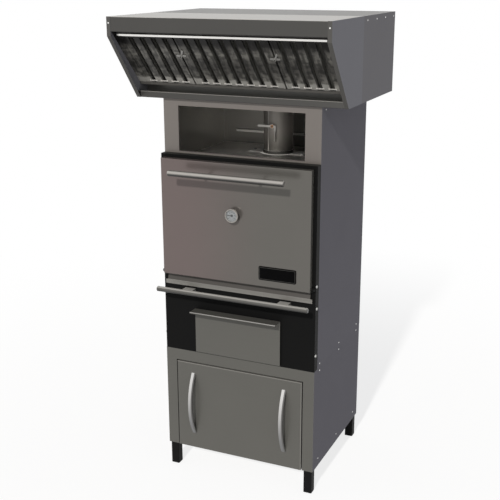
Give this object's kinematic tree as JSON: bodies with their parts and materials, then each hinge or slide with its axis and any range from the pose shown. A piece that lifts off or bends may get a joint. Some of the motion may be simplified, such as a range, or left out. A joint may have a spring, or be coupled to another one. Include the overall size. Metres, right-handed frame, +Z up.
{
  "type": "charcoal barbecue oven with hood",
  "caption": "Charcoal barbecue oven on a cabinet stand, with a drop-down door, ash and coal drawers, a warming niche round the flue and an extraction hood with baffle filters.",
  "frame": {"origin": "middle of the floor area under the whole oven, at floor level", "axes": "+Z up, -Y to the front where the door is, +X to the right seen from the front"},
  "size_m": [0.998, 0.8694, 2.16],
  "materials": {
    "front_steel": "satin stainless steel",
    "casing_steel": "satin stainless steel",
    "hood_steel": "satin stainless steel",
    "filter_steel": "bright stainless steel",
    "bright_steel": "brushed bright stainless steel",
    "black_frame": "heat-resistant black paint",
    "inner_sheet": "plain steel sheet",
    "firebox_steel": "heat-blackened thick plate",
    "grid_steel": "heat-tinted round bar",
    "flue_steel": "plain stainless tube",
    "wool": "ceramic wool blanket",
    "seal_rope": "woven heat-resistant rope",
    "brass": "plain brass",
    "fasteners": "bright steel",
    "gauge_steel": "polished",
    "dial_white": "matt white enamel",
    "gauge_glass": "clear glass",
    "needle_black": "black"
  },
  "bodies": {
    "housing": {"stand_front_frame": "front_steel", "niche_front_frame": "front_steel", "stand_cladding": "casing_steel", "casing_left": "casing_steel", "casing_right": "casing_steel", "casing_back": "casing_steel", "niche_floor": "casing_steel", "niche_back_bracket": "casing_steel", "canopy_side_left": "hood_steel", "canopy_side_right": "hood_steel", "canopy_fascia": "hood_steel", "canopy_top": "hood_steel", "plenum_wrap": "hood_steel", "plenum_top": "hood_steel", "plenum_floor": "hood_steel", "grease_gutter": "hood_steel", "filter_support": "filter_steel", "filter_top_rail": "filter_steel", "front_rail": "bright_steel", "sill_ledge": "bright_steel", "hinge_ears": "bright_steel", "oven_front_frame": "black_frame", "stand_legs": "black_frame", "stand_top_deck": "inner_sheet", "stand_shelf": "inner_sheet", "coal_drawer_runners": "inner_sheet", "ash_bay_walls": "inner_sheet", "ash_hopper": "inner_sheet", "firebox": "firebox_steel", "grid_rails": "firebox_steel", "charcoal_grate": "firebox_steel", "cooking_grid": "grid_steel", "flue_pipe": "flue_steel", "flue_collar": "flue_steel", "insulation": "wool", "damper_bush": "brass", "rivets": "fasteners", "bolts": "fasteners"},
    "door": {"door_skin": "front_steel", "door_liner": "inner_sheet", "door_insulation": "wool", "door_seal": "seal_rope", "door_handle": "bright_steel", "hinge_pins": "bright_steel", "thermometer_case": "gauge_steel", "thermometer_dial": "dial_white", "thermometer_glass": "gauge_glass"},
    "gauge_needle": {"thermometer_needle": "needle_black"},
    "ash_drawer": {"ash_drawer_front": "front_steel", "ash_drawer_box": "inner_sheet"},
    "coal_drawer": {"coal_drawer_front": "front_steel", "coal_drawer_box": "inner_sheet", "coal_drawer_handles": "bright_steel"},
    "damper": {"damper_vane": "bright_steel", "damper_lever": "bright_steel"},
    "left_filter": {"filter_left": "filter_steel"},
    "middle_filter": {"filter_middle": "filter_steel"},
    "right_filter": {"filter_right": "filter_steel"},
    "left_clip": {"filter_clip_left": "filter_steel"},
    "right_clip": {"filter_clip_right": "filter_steel"}
  },
  "joints": [
    {"name": "door_hinge", "type": "hinge", "parent": "housing", "child": "door", "pos_m": [0, -0.23625, 1.01], "axis": [1, 0, 0], "range_deg": [0, 90]},
    {"name": "needle_pivot", "type": "hinge", "parent": "door", "child": "gauge_needle", "pos_m": [0, -0.28025, 1.317], "axis": [0, 1, 0], "range_deg": [-35, 235]},
    {"name": "ash_drawer_slide", "type": "slide", "parent": "housing", "child": "ash_drawer", "axis": [0, -1, 0], "range_m": [0, 0.4]},
    {"name": "coal_drawer_slide", "type": "slide", "parent": "housing", "child": "coal_drawer", "axis": [0, -1, 0], "range_m": [0, 0.45]},
    {"name": "damper_pivot", "type": "hinge", "parent": "housing", "child": "damper", "pos_m": [0, 0.25075, 1.641], "axis": [0, -1, 0], "range_deg": [0, 90]},
    {"name": "left_filter_lift", "type": "slide", "parent": "housing", "child": "left_filter", "axis": [0, -0.6884, 0.7254], "range_m": [0, 0.01]},
    {"name": "middle_filter_lift", "type": "slide", "parent": "housing", "child": "middle_filter", "axis": [0, -0.6884, 0.7254], "range_m": [0, 0.01]},
    {"name": "right_filter_lift", "type": "slide", "parent": "housing", "child": "right_filter", "axis": [0, -0.6884, 0.7254], "range_m": [0, 0.01]},
    {"name": "left_clip_turn", "type": "hinge", "parent": "housing", "child": "left_clip", "pos_m": [-0.214, -0.30937, 1.9987], "axis": [0, -0.7254, -0.6884], "range_deg": [0, 90]},
    {"name": "right_clip_turn", "type": "hinge", "parent": "housing", "child": "right_clip", "pos_m": [0.214, -0.30937, 1.9987], "axis": [0, -0.7254, -0.6884], "range_deg": [0, 90]}
  ]
}
